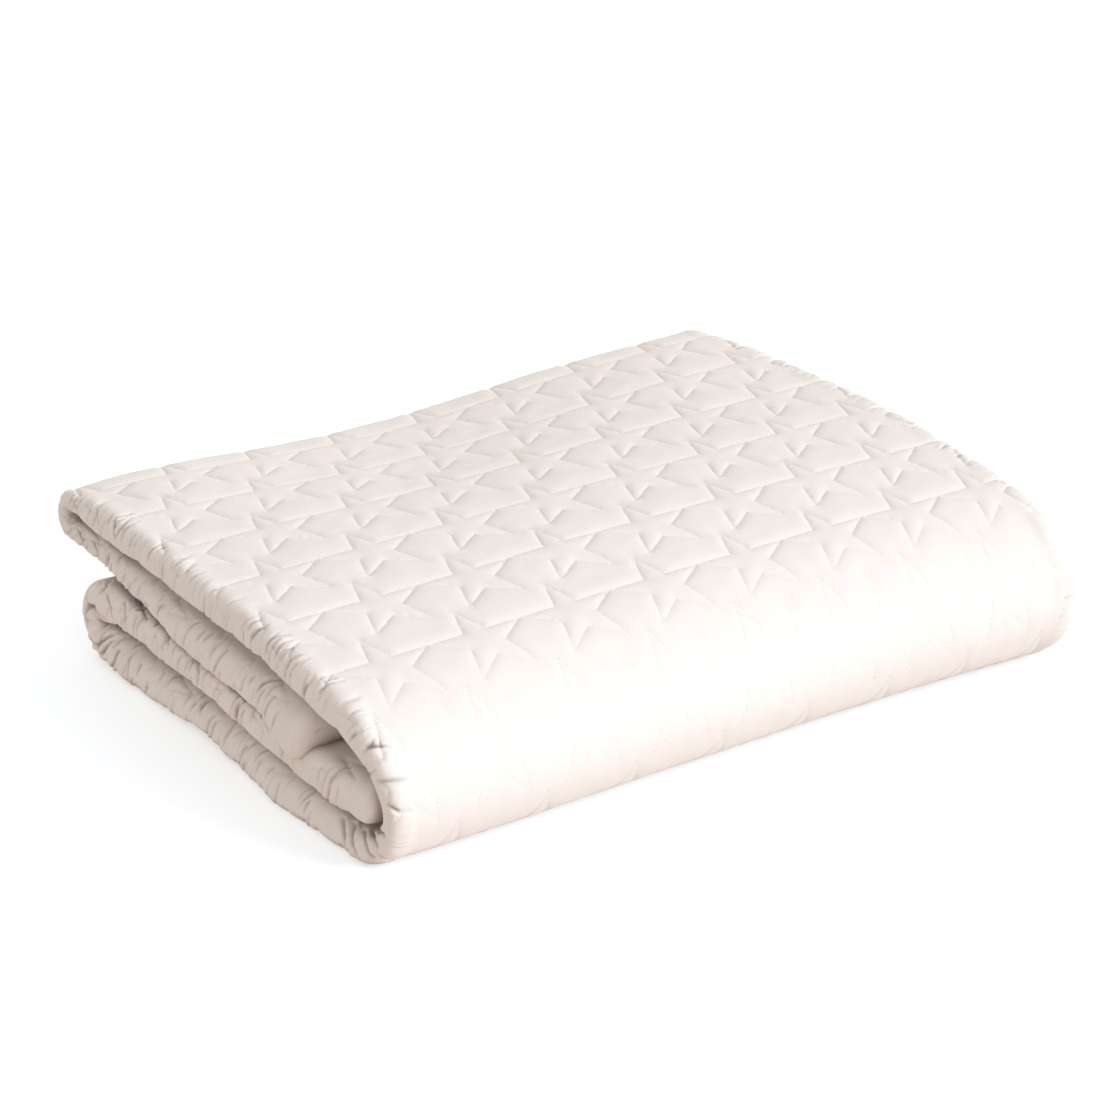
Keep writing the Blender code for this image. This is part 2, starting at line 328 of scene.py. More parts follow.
class Strip:
    """The folded strip: it places points of its flat skin in space."""

    def __init__(self):
        self.run, line = fold_line()
        self.length = self.run[-1]
        self.y, self.z, self.half, self.left, self.right = line.T
        slope = np.gradient(line[:, :2], self.run, axis=0)
        slope /= np.linalg.norm(slope, axis=1)[:, None]
        self.out_y = -slope[:, 1]
        self.out_z = slope[:, 0]
        turning = np.linalg.norm(np.gradient(slope, self.run, axis=0), axis=1)
        self.turning = np.convolve(turning, np.ones(TURN_SMOOTHING) / TURN_SMOOTHING, mode="same")
        front = np.argmin(self.y)
        back = len(self.y) - 1 - np.argmax(self.y[::-1])
        low_back = np.argmax(self.y[:front])
        self.front = self.run[front]
        self.back = self.run[back]
        self.low_back = self.run[low_back]
        self.foot = np.interp(-0.03, -self.y[low_back:front], self.run[low_back:front])
        self.top = np.interp(0.01, self.y[front:back], self.run[front:back])
        self.star_start = np.interp(STAR_START[1], self.y[front:back], self.run[front:back])

    def at(self, values, along):
        return np.interp(along, self.run, values)

    def pushed(self, across, along):
        """What PUSHES adds at flat points: lift, out and rise."""
        added = np.zeros((3, len(across)))
        around = np.abs(across) - FACE_HALF
        for side, mark, past, middle, reach_past, reach_around, *push in PUSHES:
            share = bell(along, getattr(self, mark) + past, reach_past)
            share = share * bell(around, middle, reach_around) * (across * side > 0)
            added += np.outer(push, share)
        return added

    def place(self, across, along, lift):
        """across counts from the outer face's middle, and both ways reach the inner one's."""
        side = np.sign(across)
        reach = np.abs(across)
        angle = np.clip((reach - FACE_HALF) / END_GIRTH, 0, 1) * math.pi
        deep = np.maximum(np.sin(angle), 0) ** ROLL_SQUARE
        high = np.sign(np.cos(angle)) * np.abs(np.cos(angle)) ** ROLL_SQUARE
        flat = np.where(reach > FACE_HALF + END_GIRTH, SKIN_HALF - reach, np.minimum(reach, FACE_HALF))
        from_edge = np.minimum(along, self.length - along)
        nose = np.sqrt(1 - (1 - np.clip(from_edge / NOSE, 0, 1)) ** 2)
        corner = 1 - np.sqrt(1 - (1 - np.clip(from_edge / CORNER, 0, 1)) ** 2)
        swell, out, rise = self.pushed(across, along)
        lift = (lift + swell) * nose
        out = out * nose
        rise = rise * nose
        stand = np.where(side < 0, self.at(self.left, along), self.at(self.right, along))
        stand = (stand - CORNER * corner) * (flat / FACE_HALF) ** 2
        off = (self.at(self.half, along) * nose + lift) * high
        lean = ROLL_LEAN * nose * deep * high * self.at(self.out_z, along)
        x = side * (flat + (END_DEPTH + lift) * deep + stand + out - lean)
        y = self.at(self.y, along) + self.at(self.out_y, along) * off
        z = self.at(self.z, along) + self.at(self.out_z, along) * off + rise
        return swelled(x, y, z)


def swelled(x, y, z):
    """The stack's unevenness, with what lies below the floor pressed flat on it."""
    height = np.ones_like(x)
    shift = np.zeros_like(x)
    for at_x, at_y, reach_x, reach_y, rise, push in SWELLS:
        share = np.exp(-((x - at_x) / reach_x) ** 2 - ((y - at_y) / reach_y) ** 2)
        height += rise * share
        shift += push * share
    return np.stack([x + FOOT[0], y + shift + FOOT[1], np.maximum(z * height, 0)], axis=1)


def star_outline(middle_x, middle_s):
    """The ten corners of an upright star, from its top tip round."""
    notch = STAR_RADIUS * math.cos(math.radians(72)) / math.cos(math.radians(36))
    corners = []
    for index in range(10):
        radius = notch if index % 2 else STAR_RADIUS
        angle = math.radians(90 + 36 * index)
        corners.append(np.array([middle_x + radius * math.cos(angle),
                                 middle_s + radius * math.sin(angle)]))
    return corners


def star_seams(strip):
    """The sewn lines of every star that reaches the skin, as pairs of flat points."""
    seams = []
    for row in range(*STAR_ROWS):
        middle_s = strip.star_start + row * ROW_PITCH
        if not -STAR_RADIUS < middle_s < strip.length + STAR_RADIUS:
            continue
        first = STAR_START[0] + (STAR_PITCH / 2 if row % 2 else 0)
        for column in range(*STAR_COLUMNS):
            outline = star_outline(first + column * STAR_PITCH, middle_s)
            seams += zip(outline, outline[1:] + outline[:1])
    return seams


def seam_distance(points, seams):
    """How far each flat point lies from the nearest sewn line."""
    nearest = np.full(len(points), LENGTH)
    order = np.argsort(points[:, 1])
    sorted_s = points[order, 1]
    for start, end in seams:
        low = min(start[1], end[1]) - STAR_RADIUS
        high = max(start[1], end[1]) + STAR_RADIUS
        near = order[np.searchsorted(sorted_s, low):np.searchsorted(sorted_s, high)]
        near = near[np.abs(points[near, 0] - start[0]) < 2 * STAR_RADIUS]
        way = end - start
        offset = points[near] - start
        share = np.clip(offset @ way / (way @ way), 0, 1)
        gap = np.linalg.norm(offset - share[:, None] * way, axis=1)
        nearest[near] = np.minimum(nearest[near], gap)
    return nearest


def quilted_share(strip, points):
    """1 where the quilting shows, and 0 on the faces that lie hidden between layers."""
    across = np.abs(points[:, 0])
    along = points[:, 1]
    roll = ramp(across, FACE_HALF - ROLL_LEAD - HIDDEN_FADE, FACE_HALF - ROLL_LEAD)
    roll *= 1 - ramp(across, FACE_HALF + END_GIRTH, FACE_HALF + END_GIRTH + ROLL_TAIL)
    face = ramp(along, strip.low_back - FOLD_DEPTH - HIDDEN_FADE, strip.low_back - FOLD_DEPTH)
    face *= 1 - ramp(along, strip.back + FOLD_DEPTH, strip.back + FOLD_DEPTH + HIDDEN_FADE)
    face *= 1 - ramp(across, FACE_HALF + END_GIRTH, FACE_HALF + END_GIRTH + ROLL_TAIL)
    edge = np.minimum(along, strip.length - along)
    return np.maximum(roll, face) * ramp(edge, NOSE, NOSE + HIDDEN_FADE)


def bottom_share(strip, points):
    """1 on the face that lies on the floor."""
    along = points[:, 1]
    share = ramp(along, strip.low_back + FOLD_DEPTH, strip.low_back + 2 * FOLD_DEPTH)
    share *= 1 - ramp(along, strip.foot - FOLD_DEPTH, strip.foot)
    return share * (1 - ramp(np.abs(points[:, 0]), FACE_HALF - ROLL_LEAD, FACE_HALF))


def front_share(strip, points):
    """1 on the face of the big fold, where the cloth is drawn taut."""
    along = points[:, 1]
    share = ramp(along, strip.foot, strip.front) * (1 - ramp(along, strip.top - 0.02, strip.top + 0.03))
    return share * (1 - ramp(np.abs(points[:, 0]), FACE_HALF - ROLL_LEAD, FACE_HALF))


def taut_share(strip, along):
    """1 on the front wall, its end rolls too."""
    return ramp(along, strip.foot, strip.front) * (1 - ramp(along, strip.front, strip.top))


def roll_share(points):
    """1 on the two end rolls of every layer."""
    across = np.abs(points[:, 0])
    share = ramp(across, FACE_HALF - 0.012, FACE_HALF + 0.008)
    return share * (1 - ramp(across, FACE_HALF + END_GIRTH, FACE_HALF + END_GIRTH + ROLL_TAIL))


def side_share(points):
    """1 on the side of an end roll, where its seams hardly show."""
    return ramp(np.abs(points[:, 0]), FACE_HALF + 0.15 * END_GIRTH, FACE_HALF + 0.5 * END_GIRTH)


def roll_creases(strip, seams, sizes):
    """Every crease across the end rolls: its two flat ends, its bow, depth and width."""
    random = np.random.default_rng(CREASE_SEED)
    marks = np.arange(3 * NOSE, strip.length - 3 * NOSE, CREASE_PITCH)
    creases = []
    for side in (-1, 1):
        along = marks + mixed(random, (-0.5, 0.5), len(marks)) * CREASE_PITCH
        shoulder = np.stack([np.full(len(marks), side * (FACE_HALF + 0.1 * END_GIRTH)), along], axis=1)
        near = np.exp(-seam_distance(shoulder, seams) / CREASE_SPREAD)
        chance = (0.25 + 0.6 * near) * (1 - 0.75 * taut_share(strip, along))
        chance *= 1 - bell(along, strip.foot, 0.04)
        chance *= 1 if side < 0 else 0.6
        along = along[mixed(random, (0, 1), len(marks)) < chance]
        count = len(along)
        around = mixed(random, CREASE_START, count)
        under = ramp(along, strip.low_back + 0.03, strip.low_back + 0.06)
        under *= 1 - ramp(along, strip.foot - 0.03, strip.foot)
        around += CREASE_UNDER * (under + ramp(along, strip.back, strip.back + 0.03))
        length = mixed(random, CREASE_LENGTH, count)
        end = along + length * random.normal(*CREASE_SLANT, count)
        bow = length * mixed(random, (-0.12, 0.12), count)
        depth = sizes.crease_depth * mixed(random, (0.25, 1), count)
        width = mixed(random, CREASE_WIDTH, count)
        across = side * (FACE_HALF + around)
        across_end = side * (FACE_HALF + around + length)
        creases += zip(across, along, across_end, end, bow, depth, width)
    for side, mark, past, around, past_end, around_end, *shape in MAIN_CREASES:
        along = getattr(strip, mark)
        creases.append((side * (FACE_HALF + around), along + past,
                        side * (FACE_HALF + around_end), along + past_end, *shape))
    return creases


def crease_points(strip, creases, seams):
    """Flat points along every crease and beside it, which keep it sharp in the mesh."""
    points = []
    for across, along, across_end, end, bow, _, width in creases:
        way = np.array([across_end - across, end - along])
        length = np.linalg.norm(way)
        share = np.linspace(0, 1, math.ceil(length / CREASE_STEP) + 1)
        aside = np.array([-way[1], way[0]]) / length
        line = (across, along) + np.outer(share, way) + np.outer(bow * np.sin(math.pi * share), aside)
        points += [line + offset * width * aside for offset in CREASE_LINES[np.sign(across)]]
    points = np.concatenate(points)
    inside = (points[:, 1] > NOSE) & (points[:, 1] < strip.length - NOSE)
    inside &= np.abs(points[:, 0]) < FACE_HALF + END_GIRTH + ROLL_TAIL
    points = points[inside]
    return points[seam_distance(points, seams) > CREASE_CLEAR]


def crease_drop(points, creases):
    """How far the creases draw the skin in at each flat point."""
    drop = np.zeros(len(points))
    order = np.argsort(points[:, 1])
    sorted_s = points[order, 1]
    for across, along, across_end, end, bow, depth, width in creases:
        margin = abs(bow) + 5 * width
        low, high = np.searchsorted(sorted_s, (min(along, end) - margin, max(along, end) + margin))
        near = order[low:high]
        near = near[points[near, 0] * across > 0]
        way = np.array([across_end - across, end - along])
        length = np.linalg.norm(way)
        offset = points[near] - (across, along)
        share = np.clip(offset @ way / length ** 2, 0, 1)
        arch = np.sin(math.pi * share)
        aside = offset @ np.array([-way[1], way[0]]) / length - bow * arch
        shape = bell(aside, 0, width) - CREASE_RIDGE * bell(aside, 2.2 * width, 1.4 * width)
        drop[near] += depth * np.sqrt(np.maximum(arch, 0)) * shape
    return drop


def skin_lift(strip, points, distance, drop, sizes):
    """How far the skin stands off the plain strip at each flat point."""
    quilted = quilted_share(strip, points)
    bottom = bottom_share(strip, points)
    front = front_share(strip, points)
    roll = roll_share(points)
    taut_roll = taut_share(strip, points[:, 1])
    groove = np.exp(-distance / sizes.seam_width)
    crown = 1 - (1 - np.clip(distance / sizes.padding_reach, 0, 1)) ** 2
    side = side_share(points)
    height = sizes.seam_depth * (1 - groove) * (1 - SIDE_SEAM * side) + sizes.padding * crown
    height *= (1 + sizes.roll_swell * roll * (1 - taut_roll)) * (1 - sizes.taut_share * front)
    under = ramp(np.abs(points[:, 0]), FACE_HALF + 0.3 * END_GIRTH, FACE_HALF + 0.9 * END_GIRTH)
    height -= sizes.roll_inset * under
    lift = quilted * (1 - bottom) * height - bottom * sizes.under_groove * groove
    outer = 1 - ramp(np.abs(points[:, 0]), FACE_HALF, FACE_HALF + END_GIRTH)
    lift += (1 - quilted) * (1 - bottom) * outer * sizes.plain_puff
    lift -= drop
    waves = soft_noise(points[:, 0] / WAVE_PITCH[0], points[:, 1] / WAVE_PITCH[1], WAVE_SEED)
    lift += quilted * (1 - bottom) * sizes.wave_height * waves
    pulls = np.abs(soft_noise(points[:, 0] / PULL_PITCH[0], points[:, 1] / PULL_PITCH[1], PULL_SEED))
    lift -= front * sizes.pull_depth * np.exp(-pulls / PULL_SHARPNESS)
    return lift


def next_place(strip, along, longest, turn):
    """The next place along the strip: at most longest away, and closer where it turns."""
    return along + min(longest, turn / max(strip.at(strip.turning, along), 1))


def steps_between(strip, start, end, longest, turn):
    """Places along the strip from start to end, none further apart than asked."""
    places = [start]
    while places[-1] < end - LINE_STEP:
        places.append(min(next_place(strip, places[-1], longest, turn), end))
    return places


def row_of(points, edges, columns, along, kept=None):
    """Adds a row of points across the skin, joined by edges where neighbours are kept."""
    last = None
    for across in columns:
        if kept is not None and not kept(abs(across)):
            last = None
            continue
        if last is not None:
            edges.append((last, len(points)))
        last = len(points)
        points.append((across, along))


def mirrored(columns):
    return np.concatenate([-columns[:0:-1], columns]) if columns[0] == 0 else np.concatenate([-columns[::-1], columns])


def plain_points(strip):
    """The skin's free edges and its hidden faces, in rows across it."""
    points = []
    edges = []
    face = np.linspace(0, FACE_HALF, FACE_COLUMNS)
    end = FACE_HALF + END_GIRTH * np.arange(1, END_COLUMNS) / END_COLUMNS
    columns = mirrored(np.concatenate([face, end, SKIN_HALF - face[::-1]]))
    nose = [NOSE * (1 - math.cos(math.pi / 2 * row / (NOSE_ROWS - 1))) for row in range(NOSE_ROWS)]
    for along in nose + [strip.length - place for place in nose[::-1]]:
        row_of(points, edges, columns, along)
    inner = FACE_HALF + END_GIRTH + ROLL_TAIL + (FACE_HALF - ROLL_TAIL) * np.linspace(0, 1, INNER_COLUMNS) ** 2
    outer = np.linspace(0, FACE_HALF - ROLL_LEAD - ROLL_ACROSS, 8)
    for along in steps_between(strip, NOSE, strip.length - NOSE, PLAIN_STEP, PLAIN_TURN)[1:-1]:
        row_of(points, edges, inner, along)
        row_of(points, edges, -inner[::-1], along)
        if not strip.low_back - FOLD_DEPTH - HIDDEN_FADE < along < strip.back + FOLD_DEPTH + HIDDEN_FADE:
            row_of(points, edges, mirrored(outer), along)
    return points, edges


def close_points(strip):
    """Close rows of points on the faces and rolls that show."""
    points = []
    shift = ROLL_ACROSS / 4
    for side, step in ROLL_STEPS.items():
        for along in steps_between(strip, NOSE, strip.length - NOSE, step, FINE_TURN)[1:-1]:
            reach = np.arange(FACE_HALF - ROLL_LEAD, FACE_HALF + END_GIRTH + ROLL_TAIL, ROLL_ACROSS)
            points += [(side * (across + shift), along) for across in reach]
            shift = -shift
    start = strip.low_back - FOLD_DEPTH - HIDDEN_FADE
    stop = strip.back + FOLD_DEPTH + HIDDEN_FADE
    under = (strip.low_back + 2 * FOLD_DEPTH, strip.foot - FOLD_DEPTH)
    along = start
    shift = 0.25
    while along < stop:
        step = BOTTOM_STEP if under[0] < along < under[1] else FACE_STEP
        count = int(2 * (FACE_HALF - ROLL_LEAD) / step)
        across = np.linspace(-FACE_HALF + ROLL_LEAD, FACE_HALF - ROLL_LEAD, count) + shift * step
        points += [(value, along) for value in across[1:-1]]
        along = next_place(strip, along, 0.87 * step, FINE_TURN)
        shift = -shift
    return np.array(points)


def sewn_pieces(strip, seams):
    """The seams that show, cut into short pieces: start and end points, in order."""
    pieces = []
    for start, end in seams:
        count = math.ceil(np.linalg.norm(end - start) / SEAM_PIECE)
        marks = np.linspace(start, end, count + 1)
        pieces += zip(marks[:-1], marks[1:])
    pieces = np.array(pieces)
    return pieces[quilted_share(strip, pieces.mean(axis=1)) > 0.02]


def ring_points(pieces, seams):
    """Points on both sides of the seams, for the sharp turn of the cloth there."""
    middle = pieces[::2].mean(axis=1)
    way = pieces[::2, 1] - pieces[::2, 0]
    side = np.stack([-way[:, 1], way[:, 0]], axis=1) / np.linalg.norm(way, axis=1)[:, None]
    ring = np.concatenate([middle + RING * side, middle - RING * side])
    return ring[seam_distance(ring, seams) > 0.85 * RING]


def flat_skin(strip, seams, creases):
    """Triangles of the flat skin: its points and faces, and the edges that are sewn."""
    points, edges = plain_points(strip)
    close = close_points(strip)
    clear = np.where(np.abs(close[:, 0]) > FACE_HALF - ROLL_LEAD, RING + ROLL_CLEAR, RING + 0.45 * FACE_STEP)
    quilted = quilted_share(strip, close) > 0.02
    close = close[(seam_distance(close, seams) > clear) | ~quilted]
    points += [tuple(point) for point in close]
    points += [tuple(point) for point in crease_points(strip, creases, seams)]
    pieces = sewn_pieces(strip, seams)
    points += [tuple(point) for point in ring_points(pieces, seams)]
    plain_edges = len(edges)
    for start, end in pieces:
        edges.append((len(points), len(points) + 1))
        points += [tuple(start), tuple(end)]
    flat = [Vector(point) for point in points]
    verts, lines, faces, _, origins, _ = delaunay_2d_cdt(flat, edges, [], 0, MERGE / 2, True)
    sewn = [line for line, origin in zip(lines, origins) if any(index >= plain_edges for index in origin)]
    return np.array([tuple(vert) for vert in verts]), faces, sewn


def skin_mesh(strip, sizes):
    """The closed skin as a mesh, with its flat places kept as a UV map."""
    seams = star_seams(strip)
    creases = roll_creases(strip, seams, sizes)
    verts, faces, sewn = flat_skin(strip, seams, creases)
    distance = seam_distance(verts, seams)
    drop = crease_drop(verts, creases)
    lift = skin_lift(strip, verts, distance, drop, sizes)
    places = strip.place(verts[:, 0], verts[:, 1], lift)
    skin = bmesh.new()
    free = skin.verts.layers.float.new("free")
    rolled = skin.verts.layers.float.new("roll")
    drawn = skin.verts.layers.float.new("seam")
    # The crease attribute is the mask of the shade painted into the creases: 0 on the plain skin, 1 where a crease
    # draws it in deep
    folded = skin.verts.layers.float.new("crease")
    flat = skin.loops.layers.uv.new("Skin")
    on_seam = np.zeros(len(verts), bool)
    for line in sewn:
        on_seam[list(line)] = True
    quilted = quilted_share(strip, verts)
    held = on_seam * (1 - SIDE_SEAM * side_share(verts))
    loose = quilted * (1 - bottom_share(strip, verts)) * (1 - held) * (1 - ramp(drop, 0, CREASE_PIN))
    puckers = quilted * np.exp(-distance / PUCKER_REACH) * (1 - 0.8 * front_share(strip, verts))
    made = []
    for place, *shares in zip(places, loose, roll_share(verts), puckers, ramp(drop, 0, CREASE_SHADE_DEPTH)):
        vert = skin.verts.new(place)
        vert[free], vert[rolled], vert[drawn], vert[folded] = shares
        made.append(vert)
    for face in faces:
        new = skin.faces.new([made[index] for index in face])
        for loop, index in zip(new.loops, face):
            loop[flat].uv = ((verts[index, 0] + SKIN_HALF) / 2, verts[index, 1] / 2)
    for first, second in sewn:
        edge = skin.edges.get((made[first], made[second]))
        if edge:
            edge.smooth = False
    bmesh.ops.remove_doubles(skin, verts=skin.verts, dist=MERGE)
    bmesh.ops.recalc_face_normals(skin, faces=skin.faces)
    for face in skin.faces:
        face.smooth = True
    mesh = bpy.data.meshes.new("Comforter")
    skin.to_mesh(mesh)
    skin.free()
    return mesh


def mesh_points(mesh):
    points = np.empty(len(mesh.vertices) * 3)
    mesh.vertices.foreach_get("co", points)
    return points.reshape(-1, 3)


def evened(mesh, values, passes):
    """The values at a mesh's points, each mixed with its neighbours' a few times."""
    ends = np.empty(len(mesh.edges) * 2, int)
    mesh.edges.foreach_get("vertices", ends)
    first, second = ends.reshape(-1, 2).T
    count = np.bincount(ends, minlength=len(values))[:, None]
    for _ in range(passes):
        near = [np.bincount(first, column[second], len(values)) for column in values.T]
        far = [np.bincount(second, column[first], len(values)) for column in values.T]
        values = 0.5 * values + 0.5 * np.stack(np.add(near, far), axis=1) / count
    return values


def settle(body, sizes):
    """Swells the cloth between its seams with a short simulation, and keeps the result."""
    mesh = body.data
    free = np.empty(len(mesh.vertices))
    mesh.attributes["free"].data.foreach_get("value", free)
    pins = body.vertex_groups.new(name="Sewn")
    for share in np.unique(np.round(1 - free, 1)):
        chosen = np.nonzero(np.round(1 - free, 1) == share)[0]
        pins.add(chosen.tolist(), float(share), "REPLACE")
    rolled = np.empty(len(mesh.vertices))
    mesh.attributes["roll"].data.foreach_get("value", rolled)
    rolls = body.vertex_groups.new(name="Rolls")
    for share in np.unique(np.round(rolled, 1)):
        chosen = np.nonzero(np.round(rolled, 1) == share)[0]
        rolls.add(chosen.tolist(), float(share), "REPLACE")
    before = mesh_points(mesh)
    cloth = body.modifiers.new("Settling", "CLOTH")
    settings = cloth.settings
    settings.quality = 4
    settings.mass = 0.2
    settings.tension_stiffness = 12
    settings.compression_stiffness = 12
    settings.shear_stiffness = 4
    settings.bending_stiffness = 0.3
    settings.use_pressure = True
    settings.uniform_pressure_force = sizes.pressure
    settings.shrink_min = -sizes.slack
    settings.shrink_max = -sizes.roll_slack
    settings.vertex_group_shrink = rolls.name
    settings.vertex_group_mass = pins.name
    settings.effector_weights.gravity = 0
    cloth.collision_settings.use_collision = False
    scene = bpy.context.scene
    for step in range(1, sizes.settle_frames + 1):
        scene.frame_set(step)
    shown = body.evaluated_get(bpy.context.evaluated_depsgraph_get())
    after = mesh_points(shown.data)
    body.modifiers.remove(cloth)
    body.vertex_groups.clear()
    scene.frame_set(1)
    move = after - before
    far = np.linalg.norm(move, axis=1)
    move *= np.minimum(1, sizes.settle_cap / np.maximum(far, 1e-9))[:, None]
    calm = evened(mesh, move, sizes.even_passes)
    settled = before + calm * free[:, None]
    settled[:, 2] = np.maximum(settled[:, 2], 0)
    mesh.vertices.foreach_set("co", settled.ravel())
    mesh.update()


def node(tree, kind, **values):
    """A new shader node with some of its settings, and of its inputs by name."""
    made = tree.nodes.new(kind)
    for name, value in values.items():
        title = name.replace("_", " ").title()
        if hasattr(made, name):
            setattr(made, name, value)
        else:
            made.inputs[title].default_value = value
    return made


def cotton(colours):
    """Closely woven cotton with a soft sheen, fine creases and a little unevenness, with shade painted into its
    creases and between its layers.
    """
    material = bpy.data.materials.new("Quilted cotton")
    material.use_nodes = True
    tree = material.node_tree
    link = tree.links.new
    shader = tree.nodes["Principled BSDF"]
    shader.inputs["Roughness"].default_value = 0.78
    shader.inputs["Specular IOR Level"].default_value = 0.35
    shader.inputs["Sheen Weight"].default_value = 0.22
    shader.inputs["Sheen Roughness"].default_value = 0.45
    shader.inputs["Sheen Tint"].default_value = (1.0, 0.97, 0.94, 1)
    place = tree.nodes.new("ShaderNodeTexCoord")
    # Warm and pale patches of the dye, a hand wide
    cloud = node(tree, "ShaderNodeTexNoise", scale=9.0, detail=4.0)
    link(place.outputs["Object"], cloud.inputs["Vector"])
    tone = tree.nodes.new("ShaderNodeMix")
    tone.data_type = "RGBA"
    tone.inputs[6].default_value = (*colours.cotton_warm, 1)
    tone.inputs[7].default_value = (*colours.cotton, 1)
    link(cloud.outputs["Fac"], tone.inputs[0])
    # The weave: two sets of threads, about half a millimetre apart
    skin = tree.nodes.new("ShaderNodeUVMap")
    skin.uv_map = "Skin"
    threads = []
    for direction in ("X", "Y"):
        wave = node(tree, "ShaderNodeTexWave", scale=600.0, distortion=1.2, detail=1.0)
        wave.bands_direction = direction
        link(skin.outputs["UV"], wave.inputs["Vector"])
        threads.append(wave)
    weave = node(tree, "ShaderNodeMath", operation="ADD")
    link(threads[0].outputs["Fac"], weave.inputs[0])
    link(threads[1].outputs["Fac"], weave.inputs[1])
    weave_bump = node(tree, "ShaderNodeBump", strength=0.10, distance=0.0002)
    link(weave.outputs["Value"], weave_bump.inputs["Height"])
    # Puckers that the stitches draw in beside the seams
    pucker = node(tree, "ShaderNodeTexNoise", scale=260.0, detail=2.0, roughness=0.55)
    link(place.outputs["Object"], pucker.inputs["Vector"])
    pucker_bump = masked_bump(tree, pucker.outputs["Fac"], "seam", 0.0007)
    link(weave_bump.outputs["Normal"], pucker_bump.inputs["Normal"])
    # Fine sharp gathers that run round the end rolls
    stretch = node(tree, "ShaderNodeMapping")
    stretch.inputs["Scale"].default_value = (36, 250, 1)
    link(skin.outputs["UV"], stretch.inputs["Vector"])
    gather = node(tree, "ShaderNodeTexNoise", scale=1.0, detail=2.0)
    link(stretch.outputs["Vector"], gather.inputs["Vector"])
    off = node(tree, "ShaderNodeMath", operation="SUBTRACT")
    link(gather.outputs["Fac"], off.inputs[0])
    valley = node(tree, "ShaderNodeMath", operation="ABSOLUTE")
    link(off.outputs["Value"], valley.inputs[0])
    gathered = node(tree, "ShaderNodeMapRange", from_max=0.10)
    link(valley.outputs["Value"], gathered.inputs["Value"])
    # They come in patches
    patch = node(tree, "ShaderNodeTexNoise", scale=28.0, detail=1.0)
    link(place.outputs["Object"], patch.inputs["Vector"])
    patches = node(tree, "ShaderNodeMapRange", from_min=0.42, from_max=0.58)
    link(patch.outputs["Fac"], patches.inputs["Value"])
    patchy = node(tree, "ShaderNodeMath", operation="MULTIPLY")
    link(gathered.outputs["Result"], patchy.inputs[0])
    link(patches.outputs["Result"], patchy.inputs[1])
    gather_bump = masked_bump(tree, patchy.outputs["Value"], "roll", 0.0010)
    link(pucker_bump.outputs["Normal"], gather_bump.inputs["Normal"])
    link(gather_bump.outputs["Normal"], shader.inputs["Normal"])
    # Painted shade: the base colour is mixed towards the dark crease colour down in a crease, by the crease attribute,
    # and where ambient occlusion finds other surfaces close, between the layers and along the floor
    crease = tree.nodes.new("ShaderNodeAttribute")
    crease.attribute_name = "crease"
    # Painted shade from ambient occlusion: darker wherever other surfaces, the floor too, lie within 18 mm
    openness = node(tree, "ShaderNodeAmbientOcclusion", samples=6)
    openness.inputs["Distance"].default_value = 0.018
    closed = node(tree, "ShaderNodeMapRange", from_min=0.68, from_max=0.25)
    link(openness.outputs["AO"], closed.inputs["Value"])
    painted_shade_share = node(tree, "ShaderNodeMath", operation="MAXIMUM")
    link(crease.outputs["Fac"], painted_shade_share.inputs[0])
    link(closed.outputs["Result"], painted_shade_share.inputs[1])
    deep = node(tree, "ShaderNodeMath", operation="MULTIPLY")
    deep.inputs[1].default_value = 0.85
    link(painted_shade_share.outputs["Value"], deep.inputs[0])
    shade = tree.nodes.new("ShaderNodeMix")
    shade.data_type = "RGBA"
    shade.inputs[7].default_value = (*colours.crease, 1)
    link(deep.outputs["Value"], shade.inputs[0])
    link(tone.outputs[2], shade.inputs[6])
    link(shade.outputs[2], shader.inputs["Base Color"])
    return material


def masked_bump(tree, height, attribute, distance):
    """A bump that is as strong as one of the skin's attributes says."""
    mask = tree.nodes.new("ShaderNodeAttribute")
    mask.attribute_name = attribute
    masked = node(tree, "ShaderNodeMath", operation="MULTIPLY")
    tree.links.new(height, masked.inputs[0])
    tree.links.new(mask.outputs["Fac"], masked.inputs[1])
    bump = node(tree, "ShaderNodeBump", strength=0.6, distance=distance)
    tree.links.new(masked.outputs["Value"], bump.inputs["Height"])
    return bump


def thread(colours):
    """Twisted sewing thread, paler and a little glossier than the cotton."""
    material = bpy.data.materials.new("Sewing thread")
    material.use_nodes = True
    tree = material.node_tree
    shader = tree.nodes["Principled BSDF"]
    shader.inputs["Roughness"].default_value = 0.55
    shader.inputs["Sheen Weight"].default_value = 0.2
    place = tree.nodes.new("ShaderNodeTexCoord")
    fibre = node(tree, "ShaderNodeTexNoise", scale=2500.0, detail=1.0)
    tree.links.new(place.outputs["Object"], fibre.inputs["Vector"])
    tone = tree.nodes.new("ShaderNodeMix")
    tone.data_type = "RGBA"
    tone.inputs[6].default_value = (*colours.cotton, 1)
    tone.inputs[7].default_value = (*colours.thread, 1)
    tree.links.new(fibre.outputs["Fac"], tone.inputs[0])
    tree.links.new(tone.outputs[2], shader.inputs["Base Color"])
    bump = node(tree, "ShaderNodeBump", strength=0.3, distance=0.0001)
    tree.links.new(fibre.outputs["Fac"], bump.inputs["Height"])
    tree.links.new(bump.outputs["Normal"], shader.inputs["Normal"])
    return material


